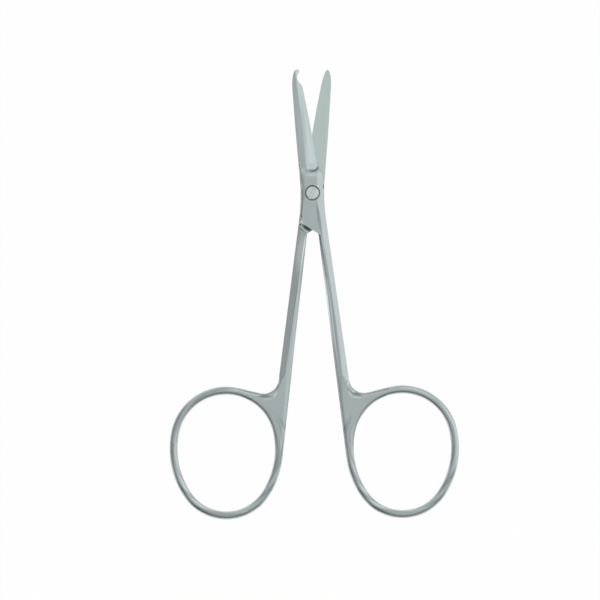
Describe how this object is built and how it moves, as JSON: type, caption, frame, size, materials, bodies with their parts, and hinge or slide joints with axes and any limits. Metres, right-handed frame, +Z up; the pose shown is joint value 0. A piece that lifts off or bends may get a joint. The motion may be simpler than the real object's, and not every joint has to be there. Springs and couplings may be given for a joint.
{
  "type": "suture scissors",
  "caption": "Small open scissors with oval finger rings, slim shanks, a screwed lap joint and short blades, the upper with a hooked notch at its tip that lifts and cuts a stitch.",
  "frame": {"origin": "on the pivot axis at the underside of the joint, the plane the scissors lie on", "axes": "+Y from the pivot towards the blade tips, +Z up through the joint to the screw's slotted head, +X to the right when seen from above"},
  "size_m": [0.0568, 0.088, 0.003],
  "materials": {
    "forged_steel": "satin",
    "screw_steel": "satin"
  },
  "bodies": {
    "lower_half": {"plain_half": "forged_steel", "pivot_screw": "screw_steel"},
    "upper_half": {"hooked_half": "forged_steel"}
  },
  "joints": [
    {"name": "blade_pivot", "type": "hinge", "parent": "lower_half", "child": "upper_half", "pos_m": [0, 0, 0.0015], "axis": [0, 0, 1], "range_deg": [-13.4, 130]}
  ]
}
